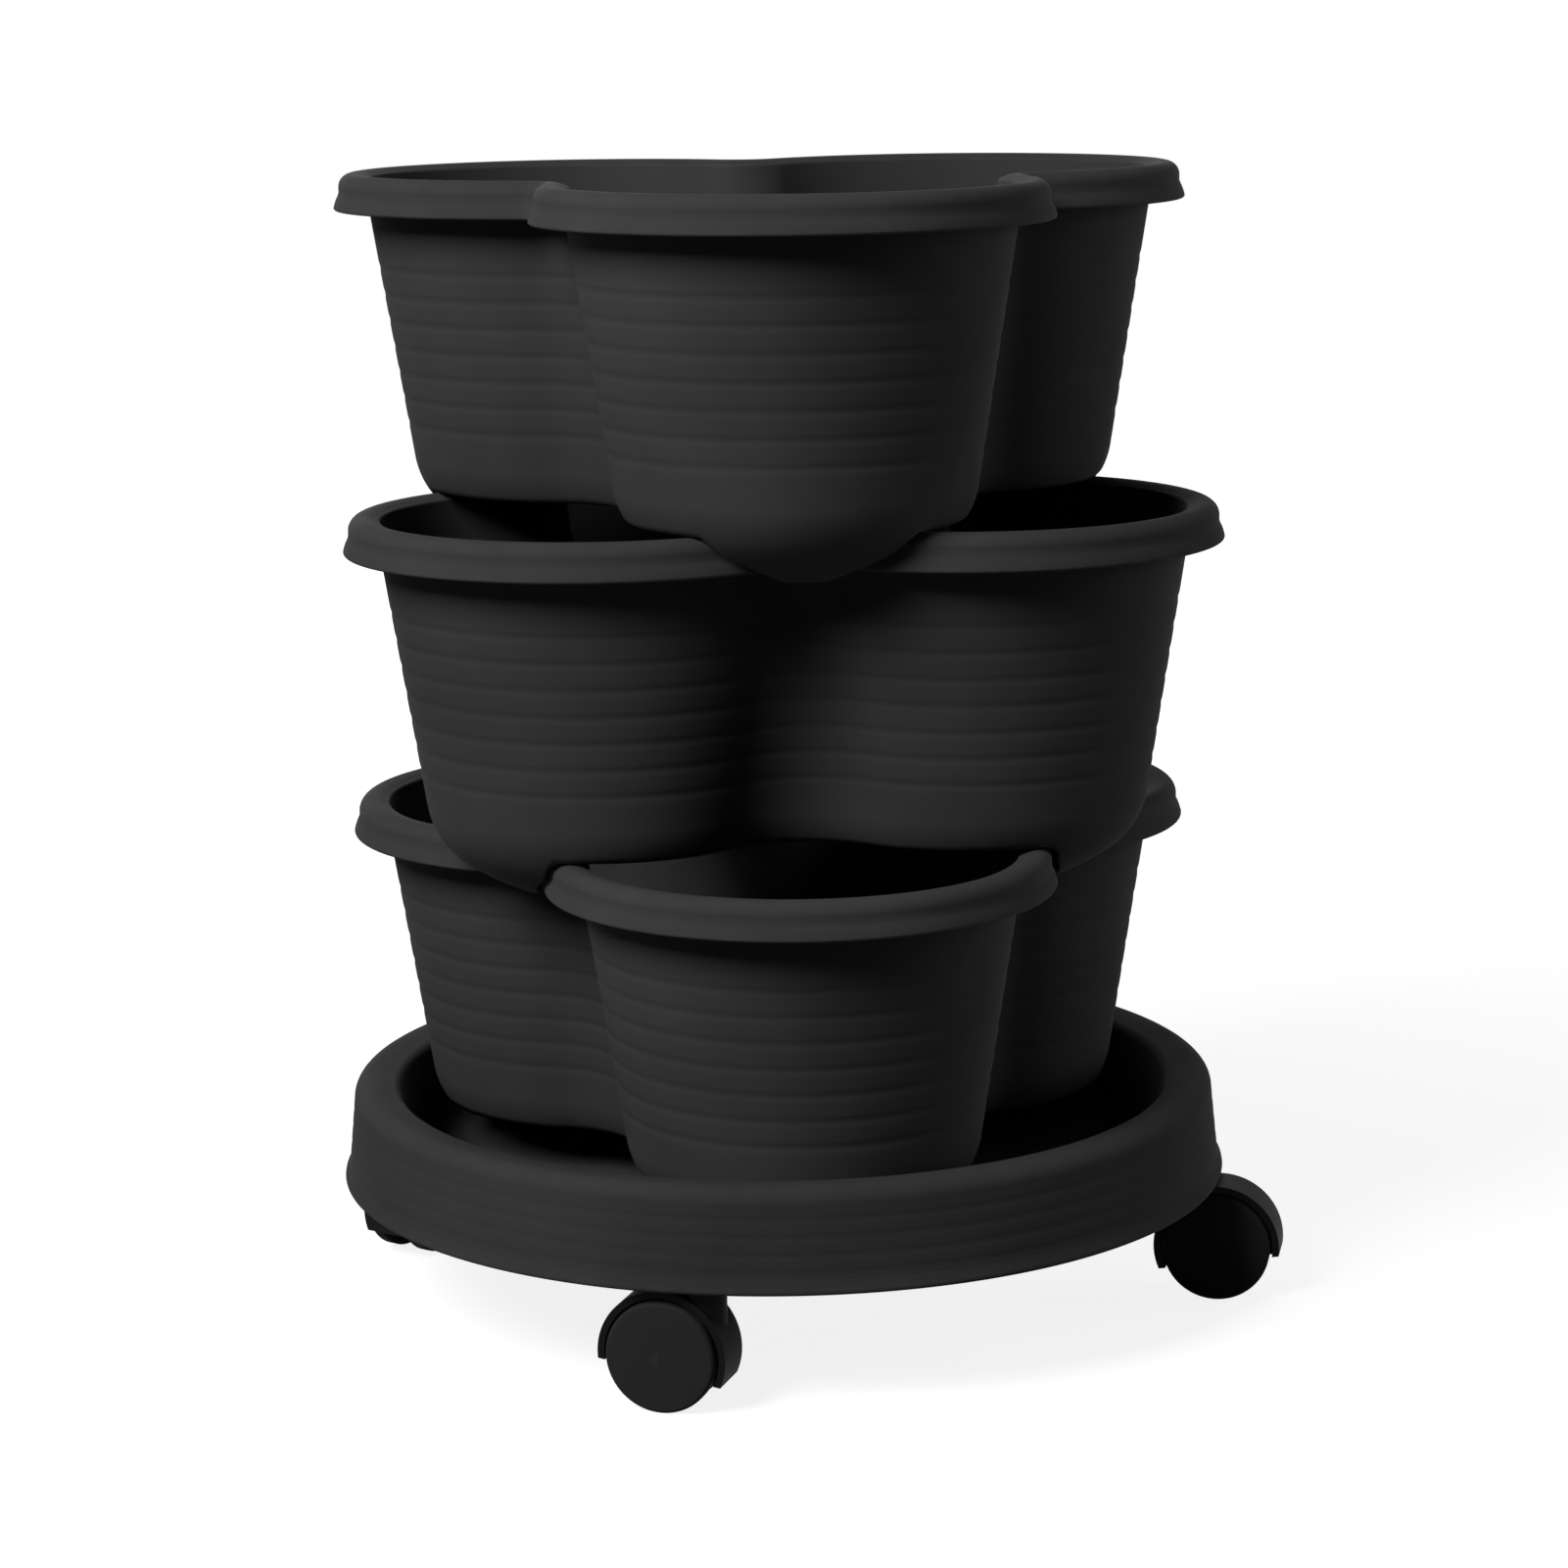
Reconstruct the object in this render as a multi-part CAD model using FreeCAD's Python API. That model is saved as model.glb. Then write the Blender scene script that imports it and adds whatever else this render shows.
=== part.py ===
"""Vertical planter tower: three three-lobed stacking pots on a round tray with four casters.

All lengths are millimetres. The tower stands on the plane z = 0 and its axis is the Z axis.
An azimuth is an angle about that axis in degrees: 0 points along -Y and +90 along +X.
"""
import FreeCAD, Part
import math
import os

Vector = FreeCAD.Vector
ORIGIN = Vector(0, 0, 0)
UP = Vector(0, 0, 1)
DOWN = Vector(0, 0, -1)
ACROSS = Vector(1, 0, 0)
FULL_TURN = 360.0

# Pot body
LOBE_COUNT = 3
LOBE_OFFSET = 78.1
BODY_RADIUS = 78.6
BODY_DRAFT = 8.85
BODY_DEPTH = 104.1
POT_WALL = 2.4

# Round valleys between the lobes: their radius at the lip, which grows by as much as the lobes draw in below it
LIP_VALLEY_RADIUS = 8.0
CORE_REACH = 10.0

# Domed bottom of each lobe, which is left whole only where it hangs as a chin between two rims
DOME_DEPTH = 24.5
CHIN_DEPTH = 18.0
KNUCKLE_RADIUS = 30.0
CROWN_RADIUS = 90.0

# Rolled rim
LIP_RADIUS = 91.7
RIM_HEIGHT = 13.5
RIM_WALL = 2.4
LIP_FLARE = 2.0
LIP_FLARE_HEIGHT = 6.0
LIP_FLARE_BULGE = 0.5
LIP_EDGE_RADIUS = 1.0
RIM_SHOULDER_RADIUS = 5.0
MOUTH_RADIUS = 79.2
MOUTH_DROP = 1.5
CREST_SAG = 0.4
MOUTH_EDGE_RADIUS = 1.2

# Grooves round the pots and round the tray
POT_GROOVE_COUNT = 7
POT_GROOVE_FIRST = 21.0
POT_GROOVE_PITCH = 9.65
POT_GROOVE_WIDTH = 5.0
POT_GROOVE_DEPTH = 0.6
TRAY_GROOVE_COUNT = 4
TRAY_GROOVE_FIRST = 11.0
TRAY_GROOVE_PITCH = 6.2
TRAY_GROOVE_WIDTH = 3.4
TRAY_GROOVE_DEPTH = 0.3

# Drain holes in each lobe's floor, measured from the lobe's own axis
DRAIN_RADIUS = 3.5
DRAIN_CIRCLE_RADIUS = 37.0
DRAIN_AZIMUTHS = (130.0, 180.0, 230.0)

# Stack
TIER_NAMES = ("lower_tier", "middle_tier", "upper_tier")
TIER_TURN = 60.0
SEAT_GAP = 0.3
CHIN_GAP = 2.5

# Tray
TRAY_MARGIN = 10.0
TRAY_HEIGHT = 37.1
TRAY_WALL = 2.4
SKIRT_DRAFT = 5.6
SKIRT_BEAD = 1.3
SKIRT_BEAD_HEIGHT = 5.2
CREST_WIDTH = 17.0
CREST_RISE = 1.2
CREST_CROWN = 0.8
TRAY_SHOULDER_RADIUS = 6.0
WELL_EDGE_RADIUS = 4.0
WELL_DRAFT = 10.0
WELL_CORNER_RADIUS = 8.0
PAN_LIFT = 0.2
TRAY_RIB_COUNT = 16
TRAY_RIB_WIDTH = 2.0

# Casters
CASTER_NAMES = ("front", "right", "back", "left")
CASTER_HEADINGS = (-113.7, 72.8, 66.3, 140.0)
FIRST_STEM_AZIMUTH = -16.1
STEM_FROM_EDGE = 13.7
TRAIL = 13.0
WHEEL_RADIUS = 20.0
WHEEL_WIDTH = 6.5
WHEEL_EDGE_RADIUS = 1.6
WHEEL_INNER_CHAMFER = 0.5
WHEEL_FACE_CROWN = 0.7
WHEEL_RIM_WALL = 2.5
WHEEL_WEB = 2.0
WHEEL_HUB_RADIUS = 5.5
HUB_END_WALL = 2.0
WEB_WIDTH = 10.6
WHEEL_GAP = 0.4
HOOD_CLEARANCE = 1.0
HOOD_WALL = 2.5
HOOD_INSET = 3.0
HOOD_FRONT_DROP = 9.5
HOOD_REAR_DROP = 2.5
COLLAR_RADIUS = 8.0
COLLAR_GAP = 1.3
AXLE_RADIUS = 2.5
AXLE_CHAMFER = 0.5
STEM_RADIUS = 4.0
STEM_IN_SOCKET = 28.0
STEM_IN_HOOD = 20.0
STEM_CHAMFER = 0.8
STEM_FLANGE_RADIUS = 6.6
STEM_FLANGE_HEIGHT = 0.9
RING_WIDTH = 3.0
RING_DEPTH = 0.9
RING_PROUD = 0.4
RING_SLIT = 1.6
RING_FROM_TOP = 6.0
SOCKET_WALL = 3.0
RUNNING_FIT = 0.05
PRESS_CLEARANCE = 0.02

# Heights that follow from the sizes above
HOOD_RADIUS = WHEEL_RADIUS + HOOD_CLEARANCE + HOOD_WALL
COLLAR_TOP = WHEEL_RADIUS + HOOD_RADIUS
SKIRT_BOTTOM = COLLAR_TOP + COLLAR_GAP
TRAY_TOP = SKIRT_BOTTOM + TRAY_HEIGHT
PAN_UNDERSIDE = SKIRT_BOTTOM + PAN_LIFT
PAN_TOP = PAN_UNDERSIDE + TRAY_WALL
FIRST_LIP = PAN_TOP + SEAT_GAP + CHIN_DEPTH + BODY_DEPTH
TIER_PITCH = BODY_DEPTH + RIM_HEIGHT + SEAT_GAP
LOBE_STEP = FULL_TURN / LOBE_COUNT
TRAY_RADIUS = LOBE_OFFSET + BODY_RADIUS + TRAY_MARGIN
STEM_CIRCLE_RADIUS = TRAY_RADIUS - STEM_FROM_EDGE
VALLEY_SPAN = LIP_RADIUS + LIP_VALLEY_RADIUS


def turned(shape, azimuth, centre=ORIGIN):
    """A copy of the shape turned about a vertical axis."""
    copy = shape.copy()
    copy.rotate(centre, UP, azimuth)
    return copy


def moved(shape, x=0.0, y=0.0, z=0.0):
    """A copy of the shape moved by the given lengths."""
    copy = shape.copy()
    copy.translate(Vector(x, y, z))
    return copy


def fused(shapes):
    """One solid from shapes that overlap."""
    return shapes[0].multiFuse(list(shapes[1:])).removeSplitter()


def polar(radius, azimuth):
    """The x and y of a point at a radius and an azimuth."""
    angle = math.radians(azimuth)
    return radius * math.sin(angle), -radius * math.cos(angle)


def lobed(section, turn=0.0):
    """One solid from a section swung round the outer side of each lobe, with a round valley between neighbours.

    Each valley is the same section swung from one lobe's axis to the next about the valley's own axis,
    which stands outside the pot, so that it meets both lobes smoothly at every level. The middle is filled
    by a star-shaped prism, which reaches a little past the lobes' axes.
    """
    low, high = section.start.z, section.here.z
    half_step = math.radians(LOBE_STEP / 2.0)
    half_swing = math.asin(LOBE_OFFSET * math.sin(half_step) / VALLEY_SPAN)
    valley_offset = LOBE_OFFSET * math.cos(half_step) + VALLEY_SPAN * math.cos(half_swing)
    x, y = polar(valley_offset, LOBE_STEP / 2.0)
    towards_valley = math.degrees(math.atan2(y + LOBE_OFFSET, x))
    face = moved(turned(section.face(), towards_valley), y=-LOBE_OFFSET)
    lobe = face.revolve(Vector(0, -LOBE_OFFSET, 0), DOWN, FULL_TURN / 2.0 + 2.0 * towards_valley)
    valley = face.revolve(Vector(x, y, 0), DOWN, math.degrees(2.0 * half_swing))
    corners = []
    pieces = []
    for number in range(LOBE_COUNT):
        azimuth = LOBE_STEP * number
        corners.append(Vector(*polar(LOBE_OFFSET + CORE_REACH, azimuth), low))
        corners.append(Vector(*polar(LOBE_OFFSET / 2.0, azimuth + LOBE_STEP / 2.0), low))
        pieces += [turned(lobe, azimuth), turned(valley, azimuth)]
    pieces.append(Part.Face(Part.makePolygon(corners + corners[:1])).extrude(UP * (high - low)))
    return turned(fused(pieces), turn)


class Section:
    """A closed outline in the XZ plane, drawn from point to point and revolved about Z."""

    def __init__(self, x, z):
        self.start = Vector(x, 0, z)
        self.here = self.start
        self.edges = []

    def line(self, x, z):
        end = Vector(x, 0, z)
        if end.distanceToPoint(self.here) > 1e-6:
            self.edges.append(Part.LineSegment(self.here, end).toShape())
            self.here = end
        return self

    def arc(self, middle, end):
        middle = Vector(middle[0], 0, middle[1])
        end = Vector(end[0], 0, end[1])
        self.edges.append(Part.Arc(self.here, middle, end).toShape())
        self.here = end
        return self

    def turn(self, centre, radius, first, last):
        """A round stretch about a centre, between two angles from +X towards +Z in degrees."""
        points = []
        for angle in (first, (first + last) / 2.0, last):
            reach = math.radians(angle)
            points.append((centre[0] + radius * math.cos(reach), centre[1] + radius * math.sin(reach)))
        self.line(*points[0])
        return self.arc(points[1], points[2])

    def grooves(self, radius_at, levels, width, depth):
        """Shallow V grooves across a straight wall, met in the order of their levels."""
        climb = 1.0 if levels[-1] > levels[0] else -1.0
        for level in levels:
            near = level - climb * width / 2.0
            far = level + climb * width / 2.0
            self.line(radius_at(near), near)
            self.line(radius_at(level) - depth, level)
            self.line(radius_at(far), far)
        return self

    def face(self):
        self.line(self.start.x, self.start.z)
        return Part.Face(Part.Wire(self.edges))

    def solid(self):
        return self.face().revolve(ORIGIN, UP, FULL_TURN)


def body_radius_at(level):
    """Outside radius of a lobe's wall at a height measured from the lip's lower edge."""
    return BODY_RADIUS + level * math.tan(math.radians(BODY_DRAFT))


def knuckle_centre():
    """Centre of the round corner that touches both the drafted wall and the domed bottom."""
    draft = math.radians(BODY_DRAFT)
    crown_centre = CROWN_RADIUS - BODY_DEPTH - DOME_DEPTH
    start_x = BODY_RADIUS - KNUCKLE_RADIUS * math.cos(draft)
    start_z = KNUCKLE_RADIUS * math.sin(draft) - crown_centre
    along = start_x * math.sin(draft) + start_z * math.cos(draft)
    gap = start_x ** 2 + start_z ** 2 - (CROWN_RADIUS - KNUCKLE_RADIUS) ** 2
    down = along + math.sqrt(along ** 2 - gap)
    return start_x - down * math.sin(draft), start_z - down * math.cos(draft) + crown_centre


def lobe_section(inset, top, grooved):
    """Half a lobe from its axis outwards: domed bottom, round corner and drafted wall, inset from outside."""
    centre = knuckle_centre()
    crown_centre = CROWN_RADIUS - BODY_DEPTH - DOME_DEPTH
    slope = math.degrees(math.atan2(centre[1] - crown_centre, centre[0]))
    crown = CROWN_RADIUS - inset
    slant = inset / math.cos(math.radians(BODY_DRAFT))
    section = Section(0, crown_centre - crown)
    section.turn((0, crown_centre), crown, -90.0, slope)
    section.turn(centre, KNUCKLE_RADIUS - inset, slope, -BODY_DRAFT)
    if grooved:
        levels = [-POT_GROOVE_FIRST - POT_GROOVE_PITCH * number for number in range(POT_GROOVE_COUNT)]
        section.grooves(body_radius_at, levels[::-1], POT_GROOVE_WIDTH, POT_GROOVE_DEPTH)
    section.line(body_radius_at(top) - slant, top)
    section.line(0, top)
    return section


def rim_section():
    """The outside of one lobe's rim, filled to the lobe's axis."""
    face_radius = LIP_RADIUS - LIP_FLARE
    shoulder = (face_radius - RIM_SHOULDER_RADIUS, RIM_HEIGHT - RIM_SHOULDER_RADIUS)
    mouth_level = RIM_HEIGHT - MOUTH_DROP
    crest_middle = ((shoulder[0] + MOUTH_RADIUS) / 2.0, RIM_HEIGHT - CREST_SAG)
    section = Section(0, 0)
    section.turn((LIP_RADIUS - LIP_EDGE_RADIUS, LIP_EDGE_RADIUS), LIP_EDGE_RADIUS, -90.0, 0.0)
    waist = (face_radius + LIP_FLARE_BULGE, (LIP_EDGE_RADIUS + LIP_FLARE_HEIGHT) / 2.0)
    section.arc(waist, (face_radius, LIP_FLARE_HEIGHT))
    section.turn(shoulder, RIM_SHOULDER_RADIUS, 0.0, 90.0)
    section.arc(crest_middle, (MOUTH_RADIUS, mouth_level))
    section.line(0, mouth_level)
    return section


def rim_hollow_section():
    """The hollow under one lobe's rolled rim, filled to the lobe's axis."""
    face_radius = LIP_RADIUS - LIP_FLARE - RIM_WALL
    shoulder = (LIP_RADIUS - LIP_FLARE - RIM_SHOULDER_RADIUS, RIM_HEIGHT - RIM_SHOULDER_RADIUS)
    ceiling = RIM_HEIGHT - MOUTH_DROP - RIM_WALL
    section = Section(0, -RIM_WALL)
    section.line(LIP_RADIUS - RIM_WALL, -RIM_WALL)
    section.line(LIP_RADIUS - RIM_WALL, 0)
    section.line(face_radius, LIP_FLARE_HEIGHT)
    section.turn(shoulder, RIM_SHOULDER_RADIUS - RIM_WALL, 0.0, 90.0)
    section.line(MOUTH_RADIUS, ceiling)
    section.line(0, ceiling)
    return section


def mouth_section():
    """The rounded inner edge of one lobe's rim, as the space that it leaves open."""
    level = RIM_HEIGHT - MOUTH_DROP
    section = Section(0, level - MOUTH_EDGE_RADIUS)
    section.turn((MOUTH_RADIUS, level - MOUTH_EDGE_RADIUS), MOUTH_EDGE_RADIUS, 180.0, 90.0)
    section.line(MOUTH_RADIUS, RIM_HEIGHT + RIM_WALL)
    section.line(0, RIM_HEIGHT + RIM_WALL)
    return section


def rims_below(inset):
    """The rims of the tier below, filled and grown by the chins' gap, from this tier's floor down."""
    crest = -BODY_DEPTH - SEAT_GAP
    floor_level = -BODY_DEPTH + inset
    lip_level = crest - RIM_HEIGHT
    bottom = -BODY_DEPTH - DOME_DEPTH - CHIN_DEPTH
    growth = CHIN_GAP + inset
    face_radius = LIP_RADIUS - LIP_FLARE
    shoulder = (face_radius - RIM_SHOULDER_RADIUS, crest - RIM_SHOULDER_RADIUS)
    shoulder_radius = RIM_SHOULDER_RADIUS + growth
    start = math.degrees(math.asin(min(1.0, (floor_level - shoulder[1]) / shoulder_radius)))
    section = Section(0, floor_level)
    section.turn(shoulder, shoulder_radius, start, 0.0)
    section.line(face_radius + growth, lip_level + LIP_FLARE_HEIGHT)
    section.line(LIP_RADIUS + growth, lip_level + LIP_EDGE_RADIUS)
    section.line(LIP_RADIUS + growth, bottom)
    section.line(0, bottom)
    return lobed(section, TIER_TURN)


def pot():
    """One moulded pot with its lip's lower edge at z = 0 and a lobe at azimuth 0."""
    under_rim = RIM_HEIGHT - MOUTH_DROP - RIM_WALL / 2.0
    flat = -BODY_DEPTH
    body = lobed(lobe_section(0.0, under_rim, True))
    rim = lobed(rim_section()).cut(lobed(rim_hollow_section()))
    outside = fused([rim, body])
    ground = Part.makeCylinder(LOBE_OFFSET + LIP_RADIUS, DOME_DEPTH)
    ground = moved(ground, z=flat - CHIN_DEPTH - DOME_DEPTH)
    outside = outside.cut(rims_below(0.0)).cut(ground)

    top = RIM_HEIGHT + RIM_WALL
    cavity = lobed(lobe_section(POT_WALL, top, False)).cut(rims_below(POT_WALL))
    cavity = fused([cavity, lobed(mouth_section())])

    hole = moved(Part.makeCylinder(DRAIN_RADIUS, 3 * POT_WALL), z=flat - POT_WALL)
    drains = []
    for azimuth in DRAIN_AZIMUTHS:
        x, y = polar(DRAIN_CIRCLE_RADIUS, azimuth)
        drain = moved(hole, x=x, y=y - LOBE_OFFSET)
        drains += [turned(drain, LOBE_STEP * lobe) for lobe in range(LOBE_COUNT)]
    return outside.cut(cavity).cut(Part.makeCompound(drains))


def skirt_radius_at(level):
    """Outside radius of the tray's skirt at a height."""
    return TRAY_RADIUS - SKIRT_BEAD - (level - SKIRT_BOTTOM) * math.tan(math.radians(SKIRT_DRAFT))


def well_edge():
    """Centre of the round edge between the tray's crest and its well."""
    radius = skirt_radius_at(TRAY_TOP) - CREST_WIDTH + WELL_EDGE_RADIUS
    return radius, TRAY_TOP - CREST_RISE - WELL_EDGE_RADIUS


def well_corner():
    """Centre of the round corner between the well's wall and the pan."""
    draft = math.radians(WELL_DRAFT)
    edge_x, edge_level = well_edge()
    level = PAN_TOP + WELL_CORNER_RADIUS
    both_radii = WELL_EDGE_RADIUS + WELL_CORNER_RADIUS
    wall_run = (edge_level - level) * math.tan(draft)
    return edge_x - both_radii / math.cos(draft) - wall_run, level


def draw_tray_top(section, inset):
    """The tray's upper surface from the pan over the crest to the shoulder, moved inwards by inset."""
    shoulder_level = TRAY_TOP - TRAY_SHOULDER_RADIUS
    shoulder = (skirt_radius_at(shoulder_level) - TRAY_SHOULDER_RADIUS, shoulder_level)
    edge = well_edge()
    crest_middle = ((shoulder[0] + edge[0]) / 2.0, TRAY_TOP - CREST_RISE + CREST_CROWN - inset)
    section.turn(well_corner(), WELL_CORNER_RADIUS + inset, -90.0, -WELL_DRAFT)
    section.turn(edge, WELL_EDGE_RADIUS - inset, 180.0 - WELL_DRAFT, 90.0)
    section.arc(crest_middle, (shoulder[0], TRAY_TOP - inset))
    section.turn(shoulder, TRAY_SHOULDER_RADIUS - inset, 90.0, 0.0)
    return section


def tray_outside():
    """The tray's outer shape, filled down to the skirt's lower edge."""
    first = TRAY_TOP - TRAY_GROOVE_FIRST
    levels = [first - TRAY_GROOVE_PITCH * number for number in range(TRAY_GROOVE_COUNT)]
    bead_top = SKIRT_BOTTOM + SKIRT_BEAD_HEIGHT
    section = draw_tray_top(Section(0, PAN_TOP), 0.0)
    section.grooves(skirt_radius_at, levels, TRAY_GROOVE_WIDTH, TRAY_GROOVE_DEPTH)
    section.line(skirt_radius_at(bead_top), bead_top)
    section.line(TRAY_RADIUS, SKIRT_BOTTOM + SKIRT_BEAD)
    section.turn((TRAY_RADIUS - SKIRT_BEAD, SKIRT_BOTTOM + SKIRT_BEAD), SKIRT_BEAD, 0.0, -90.0)
    section.line(0, SKIRT_BOTTOM)
    return section.solid()


def tray_inside(inset):
    """The space under the tray's skin, when the skin is as thick as inset."""
    mouth_radius = skirt_radius_at(SKIRT_BOTTOM) - inset
    section = draw_tray_top(Section(0, PAN_TOP - inset), inset)
    section.line(mouth_radius, SKIRT_BOTTOM)
    section.line(mouth_radius, SKIRT_BOTTOM - TRAY_WALL)
    section.line(0, SKIRT_BOTTOM - TRAY_WALL)
    return section.solid()


def stem_place(number):
    """The x and y of a caster's stem."""
    return polar(STEM_CIRCLE_RADIUS, FIRST_STEM_AZIMUTH + FULL_TURN / len(CASTER_NAMES) * number)


def tray_rib():
    """One stiffening rib under the tray's rim, sunk halfway into the skin that it joins."""
    inset = TRAY_WALL / 2.0
    level = PAN_TOP - inset
    section = Section(skirt_radius_at(level) - inset, level)
    section.line(well_corner()[0], level)
    draw_tray_top(section, inset)
    sweep = math.degrees(TRAY_RIB_WIDTH / STEM_CIRCLE_RADIUS)
    return turned(section.face().revolve(ORIGIN, UP, sweep), -90.0 - sweep / 2.0)


def tray():
    """The round tray: pan, well wall, hollow rolled rim, skirt, ribs and a socket for each stem."""
    bore_radius = STEM_RADIUS + RING_PROUD + RUNNING_FIT
    bore_depth = STEM_IN_SOCKET + SEAT_GAP
    posts = []
    bores = []
    for number in range(len(CASTER_NAMES)):
        x, y = stem_place(number)
        post = Part.makeCylinder(bore_radius + SOCKET_WALL, bore_depth + TRAY_WALL)
        bore = Part.makeCylinder(bore_radius, bore_depth)
        posts.append(moved(post, x=x, y=y, z=SKIRT_BOTTOM))
        bores.append(moved(bore, x=x, y=y, z=SKIRT_BOTTOM))
    rib = turned(tray_rib(), FIRST_STEM_AZIMUTH)
    ribs = [turned(rib, FULL_TURN / TRAY_RIB_COUNT * number) for number in range(TRAY_RIB_COUNT)]
    skin = tray_inside(TRAY_WALL / 2.0)
    posts = [skin.common(post) for post in posts]
    shell = tray_outside().cut(tray_inside(TRAY_WALL))
    return shell.multiFuse(ribs + posts).cut(Part.makeCompound(bores))


def cylinder_along_x(radius, low, high):
    """A cylinder about the axle's line, between two places along it."""
    return Part.makeCylinder(radius, high - low, Vector(low, 0, WHEEL_RADIUS), ACROSS)


def wheel_faces():
    """Places along the axle of a wheel's inner face, its outer edge and the hood's side."""
    inner = WEB_WIDTH / 2.0 + WHEEL_GAP
    outer = inner + WHEEL_WIDTH
    return inner, outer, outer - HOOD_INSET


def axle_reach():
    """How far the axle reaches from the caster's middle into each wheel's hub."""
    return wheel_faces()[1] - HUB_END_WALL - SEAT_GAP


def wheel():
    """A wheel on the +X side: tread, crowned outer face, web and blind hub, open on its inner side."""
    inner, outer, _ = wheel_faces()
    bore_radius = AXLE_RADIUS + RUNNING_FIT
    edge = (WHEEL_RADIUS - WHEEL_EDGE_RADIUS, outer - WHEEL_FACE_CROWN - WHEEL_EDGE_RADIUS)
    rim_radius = WHEEL_RADIUS - WHEEL_RIM_WALL
    web_level = outer - WHEEL_FACE_CROWN - WHEEL_WEB
    face_sphere = (edge[0] ** 2 + WHEEL_FACE_CROWN ** 2) / (2.0 * WHEEL_FACE_CROWN)
    face_angle = math.degrees(math.acos(edge[0] / face_sphere))
    section = Section(0, outer - HUB_END_WALL)
    section.line(bore_radius, outer - HUB_END_WALL)
    section.line(bore_radius, inner)
    section.line(WHEEL_HUB_RADIUS, inner)
    section.line(WHEEL_HUB_RADIUS, web_level)
    section.line(rim_radius, web_level)
    section.line(rim_radius, inner)
    section.line(WHEEL_RADIUS - WHEEL_INNER_CHAMFER, inner)
    section.line(WHEEL_RADIUS, inner + WHEEL_INNER_CHAMFER)
    section.turn(edge, WHEEL_EDGE_RADIUS, 0.0, 90.0)
    section.turn((0, outer - face_sphere), face_sphere, face_angle, 90.0)
    solid = section.solid()
    solid.rotate(ORIGIN, Vector(0, 1, 0), 90.0)
    return moved(solid, z=WHEEL_RADIUS)


def hood():
    """The caster's hood: a barrel over both wheels, the web that holds the axle, and the stem's collar."""
    side = wheel_faces()[2]
    barrel = cylinder_along_x(HOOD_RADIUS, -side, side)
    barrel = barrel.cut(cylinder_along_x(HOOD_RADIUS - HOOD_WALL, -2 * side, 2 * side))
    web = cylinder_along_x(HOOD_RADIUS - HOOD_WALL / 2.0, -WEB_WIDTH / 2.0, WEB_WIDTH / 2.0)
    front = math.sqrt(HOOD_RADIUS ** 2 - HOOD_FRONT_DROP ** 2)
    rear = math.sqrt(HOOD_RADIUS ** 2 - HOOD_REAR_DROP ** 2)
    slope = math.degrees(math.atan2(HOOD_FRONT_DROP - HOOD_REAR_DROP, front + rear))
    lower_half = Part.makeBox(4 * side, 4 * HOOD_RADIUS, 2 * HOOD_RADIUS)
    lower_half = moved(lower_half, x=-2 * side, y=-2 * HOOD_RADIUS, z=-2 * HOOD_RADIUS)
    lower_half.rotate(ORIGIN, ACROSS, -slope)
    lower_half = moved(lower_half, y=front, z=WHEEL_RADIUS - HOOD_FRONT_DROP)
    collar = Part.makeCylinder(COLLAR_RADIUS, HOOD_RADIUS, Vector(0, TRAIL, WHEEL_RADIUS), UP)
    collar = collar.cut(cylinder_along_x(HOOD_RADIUS - HOOD_WALL / 2.0, -2 * side, 2 * side))
    bore = Part.makeCylinder(STEM_RADIUS + RUNNING_FIT, STEM_IN_HOOD + SEAT_GAP)
    bore = moved(bore, y=TRAIL, z=COLLAR_TOP - STEM_IN_HOOD - SEAT_GAP)
    axle_bore = cylinder_along_x(AXLE_RADIUS + PRESS_CLEARANCE, -WEB_WIDTH, WEB_WIDTH)
    return fused([barrel, web]).cut(lower_half).fuse(collar).cut(bore).cut(axle_bore).removeSplitter()


def axle():
    """The plain steel pin through the hood's web and into both wheels."""
    reach = axle_reach()
    pin = cylinder_along_x(AXLE_RADIUS, -reach, reach)
    ends = [edge for edge in pin.Edges if edge.Curve.TypeId == "Part::GeomCircle"]
    return pin.makeChamfer(AXLE_CHAMFER, ends)


def ring_levels():
    """Lower and upper level of the grip ring on its stem."""
    top = SKIRT_BOTTOM + STEM_IN_SOCKET - RING_FROM_TOP
    return top - RING_WIDTH, top


def stem():
    """The steel stem: swivel shank below, flange under the tray, and the grooved shank in its socket."""
    low = COLLAR_TOP - STEM_IN_HOOD
    high = SKIRT_BOTTOM + STEM_IN_SOCKET
    groove_low, groove_high = ring_levels()
    groove_radius = STEM_RADIUS - RING_DEPTH + RING_PROUD
    section = Section(0, low)
    section.line(STEM_RADIUS - STEM_CHAMFER, low)
    section.line(STEM_RADIUS, low + STEM_CHAMFER)
    section.line(STEM_RADIUS, SKIRT_BOTTOM - STEM_FLANGE_HEIGHT)
    section.line(STEM_FLANGE_RADIUS, SKIRT_BOTTOM - STEM_FLANGE_HEIGHT)
    section.line(STEM_FLANGE_RADIUS, SKIRT_BOTTOM)
    section.line(STEM_RADIUS, SKIRT_BOTTOM)
    section.line(STEM_RADIUS, groove_low - RUNNING_FIT)
    section.line(groove_radius - RUNNING_FIT, groove_low - RUNNING_FIT)
    section.line(groove_radius - RUNNING_FIT, groove_high + RUNNING_FIT)
    section.line(STEM_RADIUS, groove_high + RUNNING_FIT)
    section.line(STEM_RADIUS, high - STEM_CHAMFER)
    section.line(STEM_RADIUS - STEM_CHAMFER, high)
    section.line(0, high)
    return section.solid()


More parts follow.
